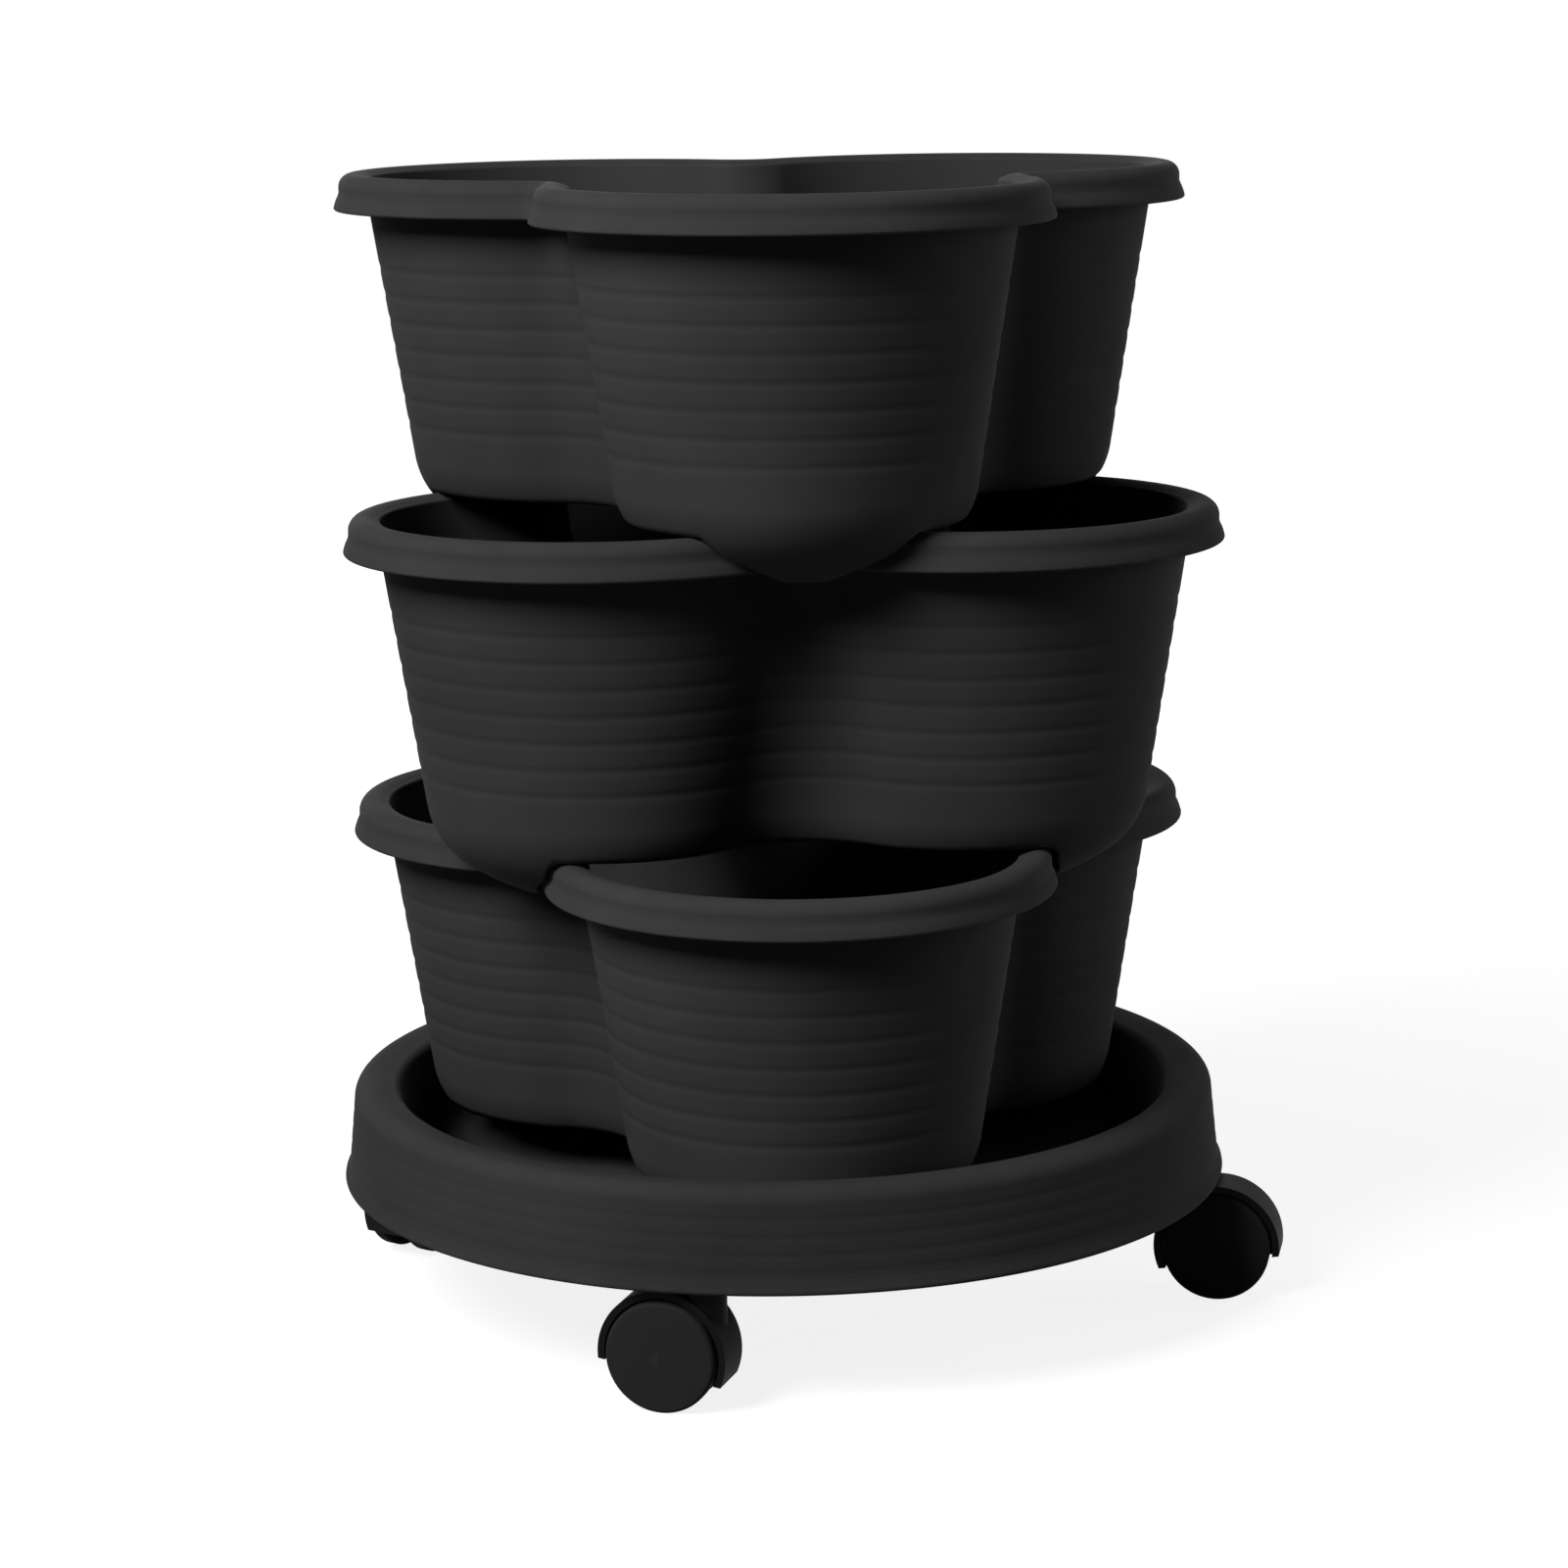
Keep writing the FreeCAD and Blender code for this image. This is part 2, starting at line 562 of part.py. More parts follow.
def grip_ring():
    """The slit spring ring in the stem's groove, which grips the socket."""
    low, high = ring_levels()
    outer = STEM_RADIUS + RING_PROUD
    ring = Part.makeCylinder(outer, high - low, Vector(0, 0, low), UP)
    ring = ring.cut(Part.makeCylinder(outer - RING_DEPTH, high - low, Vector(0, 0, low), UP))
    slit = Part.makeBox(RING_SLIT, 2 * outer, high - low, Vector(-RING_SLIT / 2.0, 0, low))
    return ring.cut(slit)


def caster_pieces(number):
    """All pieces of one caster, each under its name and in its place under the tray."""
    fixed = {"stem": stem(), "grip_ring": grip_ring()}
    rolling = {"hood": hood(), "axle": axle()}
    rolling["wheel_a"] = wheel()
    rolling["wheel_b"] = turned(wheel(), FULL_TURN / 2.0)
    local = dict(fixed)
    for name, shape in rolling.items():
        local[name] = moved(shape, y=-TRAIL)
    x, y = stem_place(number)
    pieces = {}
    for name, shape in local.items():
        placed = moved(turned(shape, CASTER_HEADINGS[number]), x=x, y=y)
        pieces[CASTER_NAMES[number] + "_caster_" + name] = placed
    return pieces


def tower():
    """Every piece of the tower, under its name and in its place."""
    pieces = {"tray": tray()}
    mould = pot()
    for number, name in enumerate(TIER_NAMES):
        pieces[name] = moved(turned(mould, TIER_TURN * number), z=FIRST_LIP + TIER_PITCH * number)
    for number in range(len(CASTER_NAMES)):
        pieces.update(caster_pieces(number))
    return pieces


def main():
    os.makedirs("parts", exist_ok=True)
    for name, shape in tower().items():
        shape.exportStep(os.path.join("parts", name + ".step"))
        print(name, shape.isValid(), len(shape.Solids), len(shape.Faces), round(shape.Volume, 1))


if __name__ == "__main__":
    main()
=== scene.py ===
"""Looks of the vertical planter tower: moulded black pots, a wheeled tray and a plain pale studio."""
import math

import bmesh
import bpy
from mathutils import Matrix, Vector


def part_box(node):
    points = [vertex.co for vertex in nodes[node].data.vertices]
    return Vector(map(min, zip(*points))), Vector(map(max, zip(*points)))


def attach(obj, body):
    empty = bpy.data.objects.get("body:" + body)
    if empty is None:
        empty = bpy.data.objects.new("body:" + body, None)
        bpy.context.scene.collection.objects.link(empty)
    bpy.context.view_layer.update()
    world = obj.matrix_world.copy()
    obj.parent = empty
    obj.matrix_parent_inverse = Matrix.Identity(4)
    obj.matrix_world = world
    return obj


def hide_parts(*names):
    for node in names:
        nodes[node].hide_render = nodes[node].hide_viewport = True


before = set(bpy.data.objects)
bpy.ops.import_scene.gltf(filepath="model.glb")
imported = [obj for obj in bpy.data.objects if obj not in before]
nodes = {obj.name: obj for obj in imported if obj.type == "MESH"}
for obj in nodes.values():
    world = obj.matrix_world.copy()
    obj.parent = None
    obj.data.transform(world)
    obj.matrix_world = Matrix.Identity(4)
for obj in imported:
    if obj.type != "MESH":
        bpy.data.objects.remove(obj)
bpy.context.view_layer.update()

MM = 0.001
QUARTER = math.pi / 2.0
TINY = 1e-6

# Camera, fitted to the photograph: place in metres, angles in degrees, lens and sensor in millimetres
CAMERA_AZIMUTH = -5.44
CAMERA_DISTANCE = 1501.5 * MM
CAMERA_HEIGHT = 488.7 * MM
CAMERA_YAW = 0.074
CAMERA_PITCH = 11.214
CAMERA_ROLL = -0.77
CAMERA_LENS = 93.57
SENSOR = 36.0

# Pot: sizes of the moulding, in millimetres, as in the frame's pots
LOBE_COUNT = 3
LOBE_OFFSET = 78.1
BODY_RADIUS = 78.6
BODY_DRAFT = math.radians(8.85)
BODY_DEPTH = 104.1
POT_WALL = 2.4
LIP_VALLEY_RADIUS = 8.0
DOME_DEPTH = 24.5
CHIN_DEPTH = 18.0
KNUCKLE_RADIUS = 30.0
CROWN_RADIUS = 90.0
LIP_RADIUS = 91.7
RIM_HEIGHT = 13.5
RIM_WALL = 2.4
LIP_FLARE = 2.0
LIP_FLARE_HEIGHT = 6.0
LIP_EDGE_RADIUS = 1.0
RIM_SHOULDER_RADIUS = 5.0
MOUTH_RADIUS = 79.2
MOUTH_DROP = 1.5
MOUTH_EDGE_RADIUS = 1.2
SEAT_GAP = 0.3
CHIN_GAP = 2.5
GROOVE_COUNT = 7
GROOVE_FIRST = 21.0
GROOVE_PITCH = 9.65
GROOVE_WIDTH = 5.0
GROOVE_DEPTH = 0.26
DRAIN_RADIUS = 3.5
DRAIN_CIRCLE_RADIUS = 37.0
DRAIN_AZIMUTHS = (130.0, 180.0, 230.0)

# Pot: softness of the moulding where its faces meet
FLOOR_CORNER = 3.0
CHIN_EDGE = 1.0
CHIN_EDGE_RUN = 6.0
CHANNEL_CORNER = 0.4
CHANNEL_CORNER_RUN = 1.0
LIP_CHAMFER = 0.3
LIP_BELLY = 0.12
FLARE_EASE = 0.4
POT_SHARP_ANGLE = 50.0

# Pot: how finely the mesh is divided and cut. A bottom's steps go along the floor, up the notch, round the
# edge and along the lobe. Rows and the drains' cutters are in millimetres
SECTOR_COLUMNS = 48
CLEFT_CROWDING = 0.8
FINE_STEPS = 240
NOTCH_SHOULDER_STEPS = 40
HALVINGS = 30
OUTER_BOTTOM_STEPS = (6, 12, 6, 18)
INNER_BOTTOM_STEPS = (5, 6, 4, 14)
INNER_WALL_STEPS = 20
GROOVE_STEPS = 8
ROWS_ABOVE_KNUCKLE = (4.0, 8.0)
ROWS_ABOVE_GROOVES = (9.0, 15.0)
ROWS_ABOVE_LIP = (0.0, 4.0, 7.0)
LAST_ROW_DROP = 1.0
ROW_MARGIN = 0.5
CHANNEL_STEPS = 5
LIP_EDGE_STEPS = 6
FLARE_STEPS = 6
RIM_SHOULDER_STEPS = 12
RIM_TOP_STEPS = 5
MOUTH_STEPS = 6
DRAIN_SIDES = 32
DRAIN_CUT_LENGTH = 6.0 * POT_WALL

# Tray: sizes of the moulding, in millimetres, as in the frame's tray
TRAY_RADIUS = 166.7
TRAY_HEIGHT = 37.1
TRAY_WALL = 2.4
SKIRT_BOTTOM = 44.8
SKIRT_DRAFT = math.radians(5.6)
SKIRT_BEAD = 1.3
SKIRT_BEAD_HEIGHT = 5.2
CREST_WIDTH = 17.0
CREST_RISE = 1.2
CREST_CROWN = 0.8
TRAY_SHOULDER_RADIUS = 6.0
WELL_EDGE_RADIUS = 4.0
WELL_DRAFT = math.radians(10.0)
WELL_CORNER_RADIUS = 8.0
PAN_LIFT = 0.2
TRAY_RIB_COUNT = 16
TRAY_RIB_WIDTH = 2.0
TRAY_GROOVE_COUNT = 4
TRAY_GROOVE_FIRST = 11.0
TRAY_GROOVE_PITCH = 6.2
TRAY_GROOVE_WIDTH = 4.4
TRAY_GROOVE_DEPTH = 0.13
STEM_CIRCLE_RADIUS = 153.0
STEM_AZIMUTH = -16.1
STEM_COUNT = 4
SOCKET_RADIUS = 7.45
SOCKET_BORE = 4.45
SOCKET_DEPTH = 28.3
SOCKET_CHAMFER = 0.5
SOCKET_LEAD_IN = 0.3
TRAY_TOP = SKIRT_BOTTOM + TRAY_HEIGHT
PAN_TOP = SKIRT_BOTTOM + PAN_LIFT + TRAY_WALL

# Tray: softness of the bead at the skirt's lower edge
BEAD_SHRINK = 0.2
BEAD_RUN = 1.0
TRAY_SHARP_ANGLE = 40.0

# Tray: how finely the mesh is divided
TRAY_COLUMNS = 288
SOCKET_COLUMNS = 48
PAN_RINGS_ABOVE = (0.0, 40.0, 80.0, 110.0)
PAN_RINGS_BELOW = (60.0, 0.0)
WELL_STEPS = 8
CREST_STEPS = 8
TRAY_SHOULDER_STEPS = 10
SKIRT_STEPS = 70
SKIRT_FIRST_ROW = 0.5
BEAD_STEPS = 5

# Both mouldings: points of the mesh closer than this are one, in metres
MERGE_DISTANCE = 0.002 * MM

# Plastics: linear colour, roughness, specular level, and the strength of the grain and of the paler edges,
# which are partly rubbed wear and partly a painted highlight
PLASTICS = {
    "pot": dict(colour=(0.048, 0.048, 0.0485), roughness=0.9, specular=0.03, grain=0.4, edge_wear_and_highlight=0.5),
    "tray": dict(colour=(0.041, 0.041, 0.0415), roughness=0.9, specular=0.03, grain=0.4, edge_wear_and_highlight=0.5),
    "hood": dict(colour=(0.008, 0.008, 0.0082), roughness=0.6, specular=0.045, grain=0.25, edge_wear_and_highlight=0.0),
    "wheel": dict(colour=(0.029, 0.029, 0.0295), roughness=0.8, specular=0.03, grain=0.25, edge_wear_and_highlight=0.0),
}

# Noise in the materials: marks per metre and levels of detail, the span of noise that is used,
# and how far each pattern carries
NOISE_SPAN = (0.3, 0.7)
TONE_NOISE = (11.0, 4.0)
TONE_SWING = 0.14
SHEEN_NOISE = (27.0, 3.0)
SHEEN_SWING = 0.06
# Patches of the paler convex edges, which are partly rubbed wear and partly a painted highlight
EDGE_WEAR_AND_HIGHLIGHT_NOISE = (90.0, 3.0)
EDGE_WEAR_AND_HIGHLIGHT_NOISE_SPAN = (0.35, 0.65)
EDGE_WEAR_AND_HIGHLIGHT_SPAN = (0.3, 1.0)
EDGE_POINTINESS = (0.505, 0.56)
GRAIN_NOISE = (1500.0, 2.0)
GRAIN_HEIGHT = 0.05 * MM
STEEL_COLOUR = (0.58, 0.58, 0.6)
STEEL_TONE_NOISE = (160.0, 4.0)
STEEL_TONE_SPAN = (0.85, 1.1)
STEEL_SHEEN_NOISE = (400.0, 3.0)
STEEL_ROUGHNESS = (0.26, 0.42)

# Floor: its size in metres, what it reflects onto the object, what it reflects where it is seen, and its own
# glow there, from under the object out to where it is plain white
FLOOR_SIZE = 30.0
FLOOR_BOUNCE = 0.13
FLOOR_ROUGHNESS = 0.9
FLOOR_SHADE = 0.3
FLOOR_GLOW = (0.86, 1.0)
FLOOR_GLOW_REACH = (0.3, 1.2)

# Soft boxes: name, azimuth and elevation in degrees, side in metres and power in watts
LAMPS = (
    ("key", -50.0, 39.0, 0.85, 45.0),
    ("side", 94.0, 10.0, 1.1, 12.0),
    ("back", 180.0, 15.0, 1.1, 15.0),
)
LAMP_DISTANCE = 2.2
LAMP_AIM_HEIGHT = 0.2


def outwards(azimuth):
    """A level direction away from the tower's axis, at an azimuth in radians from the front."""
    return Vector((math.sin(azimuth), -math.cos(azimuth), 0.0))


def arc(centre, radius, first, last, count):
    """Points of a round stretch between two angles in radians."""
    angles = [first + (last - first) * number / count for number in range(count + 1)]
    return [(centre[0] + radius * math.cos(a), centre[1] + radius * math.sin(a)) for a in angles]


def between(start, end, share):
    """The point a share of the way from one point to another."""
    return start[0] + (end[0] - start[0]) * share, start[1] + (end[1] - start[1]) * share


def soft_groove(level, first, pitch, count, width, depth):
    """Depth, at a level, of soft grooves that follow each other down from the first one's middle."""
    number = round((first - level) / pitch)
    away = abs(level - first + pitch * number) / (width / 2.0)
    if away >= 1.0 or not 0 <= number < count:
        return 0.0
    return depth * (1.0 + math.cos(math.pi * away)) / 2.0


def finished_mesh(name, mesh, sharp_angle):
    """Mesh data with merged doubles, outward faces, and edges over an angle in degrees left sharp."""
    bmesh.ops.remove_doubles(mesh, verts=mesh.verts, dist=MERGE_DISTANCE)
    bmesh.ops.dissolve_degenerate(mesh, edges=mesh.edges, dist=MERGE_DISTANCE)
    bmesh.ops.recalc_face_normals(mesh, faces=mesh.faces)
    data = bpy.data.meshes.new(name)
    mesh.to_mesh(data)
    mesh.free()
    for face in data.polygons:
        face.use_smooth = True
    data.set_sharp_from_angle(angle=math.radians(sharp_angle))
    return data


def stand_in(name, data, node, place):
    """An object of mesh data that stands for a node of the frame, hung on the node's body while the node is
    hidden.
    """
    piece = bpy.data.objects.new(name, data)
    piece.matrix_world = place
    bpy.context.scene.collection.objects.link(piece)
    bpy.context.view_layer.update()
    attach(piece, node)
    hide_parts(node)


def contour(angle, radius):
    """Distance from the tower's axis to the three-lobed outline, at an angle from the nearest lobe.

    The outline is a circle about each lobe's axis, joined to its neighbours' by round valleys. A valley's
    own axis stands outside the pot, so that its radius grows by as much as the lobe's shrinks.
    """
    pitch = math.pi / LOBE_COUNT
    span = LIP_RADIUS + LIP_VALLEY_RADIUS
    swing = math.asin(LOBE_OFFSET * math.sin(pitch) / span)
    axis = LOBE_OFFSET * math.cos(pitch) + span * math.cos(swing)
    share = radius / span
    side = share * axis * math.sin(pitch)
    ahead = LOBE_OFFSET + share * (axis * math.cos(pitch) - LOBE_OFFSET)
    if angle <= math.atan2(side, ahead):
        return LOBE_OFFSET * math.cos(angle) + math.sqrt(radius ** 2 - (LOBE_OFFSET * math.sin(angle)) ** 2)
    across = pitch - angle
    return axis * math.cos(across) - math.sqrt((span - radius) ** 2 - (axis * math.sin(across)) ** 2)


def body_radius_at(level, inset):
    """Radius of a lobe's plain drafted wall at a level, moved inwards."""
    return BODY_RADIUS + level * math.tan(BODY_DRAFT) - inset / math.cos(BODY_DRAFT)


def grooved_radius_at(level):
    """Outside radius of a lobe's wall at a level, soft grooves and all."""
    groove = soft_groove(level, -GROOVE_FIRST, GROOVE_PITCH, GROOVE_COUNT, GROOVE_WIDTH, GROOVE_DEPTH)
    return body_radius_at(level, 0.0) - groove


def knuckle_centre():
    """Centre of the round corner that touches both the drafted wall and the domed bottom."""
    crown_centre = CROWN_RADIUS - BODY_DEPTH - DOME_DEPTH
    start_x = BODY_RADIUS - KNUCKLE_RADIUS * math.cos(BODY_DRAFT)
    start_z = KNUCKLE_RADIUS * math.sin(BODY_DRAFT) - crown_centre
    along = start_x * math.sin(BODY_DRAFT) + start_z * math.cos(BODY_DRAFT)
    gap = start_x ** 2 + start_z ** 2 - (CROWN_RADIUS - KNUCKLE_RADIUS) ** 2
    down = along + math.sqrt(along ** 2 - gap)
    return start_x - down * math.sin(BODY_DRAFT), start_z - down * math.cos(BODY_DRAFT) + crown_centre


def bottom_profile(inset):
    """A lobe's round corner and domed bottom, from the wall inwards, as radius and level."""
    centre = knuckle_centre()
    crown_level = CROWN_RADIUS - BODY_DEPTH - DOME_DEPTH
    slope = math.atan2(centre[1] - crown_level, centre[0])
    corner = arc(centre, KNUCKLE_RADIUS - inset, -BODY_DRAFT, slope, FINE_STEPS)
    dome = arc((0.0, crown_level), CROWN_RADIUS - inset, slope, -QUARTER, FINE_STEPS)
    ground = -BODY_DEPTH - CHIN_DEPTH + inset
    return [(radius, max(level, ground)) for radius, level in corner + dome[1:]]


def notch_profile(inset):
    """The rims of the tier below grown by the chins' gap, from this tier's floor downwards."""
    floor_level = -BODY_DEPTH + inset
    crest = -BODY_DEPTH - SEAT_GAP
    lip_level = crest - RIM_HEIGHT
    growth = CHIN_GAP + inset
    face = LIP_RADIUS - LIP_FLARE
    shoulder = (face - RIM_SHOULDER_RADIUS, crest - RIM_SHOULDER_RADIUS)
    radius = RIM_SHOULDER_RADIUS + growth
    start = math.asin(min(1.0, (floor_level - shoulder[1]) / radius))
    points = arc(shoulder, radius, start, 0.0, NOTCH_SHOULDER_STEPS)
    points.append((face + growth, lip_level + LIP_FLARE_HEIGHT))
    points.append((LIP_RADIUS + growth, lip_level + LIP_EDGE_RADIUS))
    points.append((LIP_RADIUS + growth, -BODY_DEPTH - CHIN_DEPTH - DOME_DEPTH))
    return points


def level_on(path, reach):
    """Level of a path, drawn inwards, at a distance from the tower's axis."""
    for (outer, high), (inner, low) in zip(path, path[1:]):
        if inner <= reach <= outer and outer > inner:
            return high + (low - high) * (outer - reach) / (outer - inner)
    return path[0][1] if reach > path[0][0] else path[-1][1]


def path_length(path):
    """Length of a path of straight runs."""
    return sum(math.dist(a, b) for a, b in zip(path, path[1:]))


def walked(path, steps):
    """Evenly spaced points along a path of straight runs, both its ends among them."""
    runs = [math.dist(a, b) for a, b in zip(path, path[1:])]
    total = sum(runs)
    if total < TINY:
        return [path[0]] * (steps + 1)
    points = [path[0]]
    run = 0
    passed = 0.0
    for step in range(1, steps):
        goal = total * step / steps
        while run < len(runs) - 1 and passed + runs[run] < goal:
            passed += runs[run]
            run += 1
        share = (goal - passed) / runs[run] if runs[run] > 0.0 else 0.0
        points.append(between(path[run], path[run + 1], share))
    return points + [path[-1]]


def trimmed(path, length):
    """A path with the given length cut off its start."""
    rest = list(path)
    while len(rest) > 1:
        run = math.dist(rest[0], rest[1])
        if run > length:
            return [between(rest[0], rest[1], length / run)] + rest[1:]
        length -= run
        rest.pop(0)
    return rest


def crossing_of(notch, shell):
    """Where a notch's path, drawn outwards, passes under a shell's.

    It gives the number of the path's points that come before, and the crossing itself.
    """
    count = 1
    while count < len(notch) - 1 and notch[count][1] > level_on(shell, notch[count][0]):
        count += 1
    above, below = notch[count - 1], notch[count]
    for _ in range(HALVINGS):
        middle = between(above, below, 0.5)
        if middle[1] > level_on(shell, middle[0]):
            above = middle
        else:
            below = middle
    return count, above


def rounded(start, corner, end, steps):
    """A soft bend that leaves its start and meets its end in the directions of a corner."""
    points = []
    for number in range(steps + 1):
        share = number / steps
        points.append(between(between(start, corner, share), between(corner, end, share), share))
    return points


def bottom_rows(angle, inset, steps):
    """One column of a pot's bottom, from the tower's axis outwards and up to where the wall is straight."""
    across = math.pi / LOBE_COUNT - angle
    shell = [(contour(angle, radius), level) for radius, level in bottom_profile(inset)]
    side = [(contour(across, radius), level) for radius, level in notch_profile(inset)]
    floor_line = walked([(0.0, -BODY_DEPTH + inset), side[0]], FINE_STEPS)
    notch = floor_line[:-1] + walked(side, FINE_STEPS)
    count, crossing = crossing_of(notch, shell)
    inner = notch[:count] + [crossing]
    outer = [crossing] + [point for point in reversed(shell) if point[0] > crossing[0] + TINY]

    side_run = path_length(inner[len(floor_line) - 1:]) if count >= len(floor_line) else 0.0
    share = min(side_run / CHIN_EDGE_RUN, 1.0)
    round_off = FLOOR_CORNER + (CHIN_EDGE - FLOOR_CORNER) * share * share * (3.0 - 2.0 * share)
    inner = trimmed(inner[::-1], round_off)[::-1]
    outer = trimmed(outer, round_off)

    along_floor, up_notch, round_edge, along_lobe = steps
    split = min(len(floor_line), len(inner))
    rows = walked(inner[:split], along_floor) + walked(inner[split - 1:], up_notch)[1:]
    rows += rounded(inner[-1], crossing, outer[0], round_edge)[1:]
    return rows + walked(outer, along_lobe)[1:]


def wall_foot(inset):
    """Level at which a lobe's straight wall starts, above its round corner."""
    return knuckle_centre()[1] - (KNUCKLE_RADIUS - inset) * math.sin(BODY_DRAFT)


def outer_wall_levels():
    """Levels of the rows on the outside of a lobe's straight wall, upwards and closest in the grooves."""
    low = wall_foot(0.0)
    high = RIM_HEIGHT - MOUTH_DROP - RIM_WALL
    levels = [low + rise for rise in ROWS_ABOVE_KNUCKLE]
    levels += [rise - GROOVE_FIRST for rise in ROWS_ABOVE_GROOVES]
    levels += list(ROWS_ABOVE_LIP)
    levels.append(high - LAST_ROW_DROP)
    for number in range(GROOVE_COUNT):
        middle = -GROOVE_FIRST - GROOVE_PITCH * number
        levels += [middle + GROOVE_WIDTH * (step / GROOVE_STEPS - 0.5) for step in range(GROOVE_STEPS + 1)]
        levels.append(middle + GROOVE_PITCH / 2.0)
    return sorted(level for level in levels if low + ROW_MARGIN < level < high - ROW_MARGIN)


def inner_wall_levels():
    """Levels of the rows on the inside of a lobe's straight wall, upwards."""
    low = wall_foot(POT_WALL)
    high = RIM_HEIGHT - MOUTH_DROP - MOUTH_EDGE_RADIUS
    return [low + (high - low) * number / INNER_WALL_STEPS for number in range(1, INNER_WALL_STEPS)]


def rim_profile():
    """The rolled rim as radius and level, from the channel's ceiling round the lip to the mouth."""
    face = LIP_RADIUS - LIP_FLARE
    shoulder = (face - RIM_SHOULDER_RADIUS, RIM_HEIGHT - RIM_SHOULDER_RADIUS)
    ceiling = RIM_HEIGHT - MOUTH_DROP - RIM_WALL
    wall = body_radius_at(ceiling, 0.0)
    points = [(wall + CHANNEL_CORNER, ceiling - CHANNEL_CORNER), (wall + CHANNEL_CORNER_RUN, ceiling)]
    points += arc(shoulder, RIM_SHOULDER_RADIUS - RIM_WALL, QUARTER, 0.0, CHANNEL_STEPS)
    points.append((face - RIM_WALL, LIP_FLARE_HEIGHT))
    points.append((LIP_RADIUS - RIM_WALL, LIP_CHAMFER))
    points.append((LIP_RADIUS - RIM_WALL + LIP_CHAMFER, 0.0))
    edge = (LIP_RADIUS - LIP_EDGE_RADIUS, LIP_EDGE_RADIUS)
    points += arc(edge, LIP_EDGE_RADIUS, -QUARTER, 0.0, LIP_EDGE_STEPS)
    for number in range(1, FLARE_STEPS):
        share = number / FLARE_STEPS
        reach = LIP_RADIUS - LIP_FLARE * (share - LIP_BELLY * math.sin(math.pi * share))
        points.append((reach, LIP_EDGE_RADIUS + (LIP_FLARE_HEIGHT - LIP_EDGE_RADIUS) * share))
    points.append((face, LIP_FLARE_HEIGHT + FLARE_EASE))
    points += arc(shoulder, RIM_SHOULDER_RADIUS, 0.0, QUARTER, RIM_SHOULDER_STEPS)
    for number in range(1, RIM_TOP_STEPS):
        share = number / RIM_TOP_STEPS
        reach = shoulder[0] + (MOUTH_RADIUS - shoulder[0]) * share
        points.append((reach, RIM_HEIGHT - MOUTH_DROP * share * share))
    mouth = (MOUTH_RADIUS, RIM_HEIGHT - MOUTH_DROP - MOUTH_EDGE_RADIUS)
    return points + arc(mouth, MOUTH_EDGE_RADIUS, QUARTER, 2.0 * QUARTER, MOUTH_STEPS)


def pot_column(angle):
    """One closed path round a pot's wall at an angle from a lobe, as reach from the axis and level."""
    rows = bottom_rows(angle, 0.0, OUTER_BOTTOM_STEPS)
    for level in outer_wall_levels():
        rows.append((contour(angle, grooved_radius_at(level)), level))
    for radius, level in rim_profile():
        rows.append((contour(angle, radius), level))
    for level in reversed(inner_wall_levels()):
        rows.append((contour(angle, body_radius_at(level, POT_WALL)), level))
    return rows + bottom_rows(angle, POT_WALL, INNER_BOTTOM_STEPS)[::-1]


def sector_angles():
    """Angles from a lobe to the cleft beside it, closest near both ends, where the shape turns most."""
    sector = math.pi / LOBE_COUNT
    angles = []
    for number in range(SECTOR_COLUMNS + 1):
        share = number / SECTOR_COLUMNS
        angles.append(sector * (share - CLEFT_CROWDING * math.sin(2.0 * math.pi * share) / (2.0 * math.pi)))
    return angles


def pot_mesh():
    """One moulded pot with its lip's lower edge at z = 0 and a lobe at azimuth 0, in metres."""
    angles = sector_angles()
    columns = [pot_column(angle) for angle in angles]
    mesh = bmesh.new()
    rings = []
    for lobe in range(LOBE_COUNT):
        for number in range(-SECTOR_COLUMNS, SECTOR_COLUMNS):
            azimuth = 2.0 * math.pi * lobe / LOBE_COUNT + math.copysign(angles[abs(number)], number)
            ring = []
            for reach, level in columns[abs(number)]:
                place = Vector((reach * math.sin(azimuth), -reach * math.cos(azimuth), level))
                ring.append(mesh.verts.new(place * MM))
            rings.append(ring)
    for left, right in zip(rings, rings[1:] + rings[:1]):
        for row in range(len(left) - 1):
            mesh.faces.new((left[row], right[row], right[row + 1], left[row + 1]))
    return finished_mesh("pot", mesh, POT_SHARP_ANGLE)


def drain_cutters():
    """Upright pegs in the places of the drain holes, longer than the floor is thick, as mesh data."""
    mesh = bmesh.new()
    for lobe in range(LOBE_COUNT):
        lobe_azimuth = 2.0 * math.pi * lobe / LOBE_COUNT
        lobe_axis = outwards(lobe_azimuth) * LOBE_OFFSET
        for degrees in DRAIN_AZIMUTHS:
            away = outwards(lobe_azimuth + math.radians(degrees)) * DRAIN_CIRCLE_RADIUS
            place = Matrix.Translation((lobe_axis + away + Vector((0, 0, -BODY_DEPTH))) * MM)
            radius = DRAIN_RADIUS * MM
            bmesh.ops.create_cone(mesh, cap_ends=True, segments=DRAIN_SIDES, radius1=radius, radius2=radius,
                                  depth=DRAIN_CUT_LENGTH * MM, matrix=place)
    data = bpy.data.meshes.new("drains")
    mesh.to_mesh(data)
    mesh.free()
    return data


def drained(data):
    """The pot's mesh with the drain holes cut through its floor."""
    pot = bpy.data.objects.new("pot", data)
    cutter = bpy.data.objects.new("drains", drain_cutters())
    for piece in (pot, cutter):
        bpy.context.scene.collection.objects.link(piece)
    cut = pot.modifiers.new("drains", "BOOLEAN")
    cut.operation = "DIFFERENCE"
    cut.solver = "MANIFOLD"
    cut.object = cutter
    made = bpy.data.meshes.new_from_object(pot.evaluated_get(bpy.context.evaluated_depsgraph_get()))
    for piece in (pot, cutter):
        bpy.data.objects.remove(piece)
    made.set_sharp_from_angle(angle=math.radians(POT_SHARP_ANGLE))
    made.materials.clear()
    return made


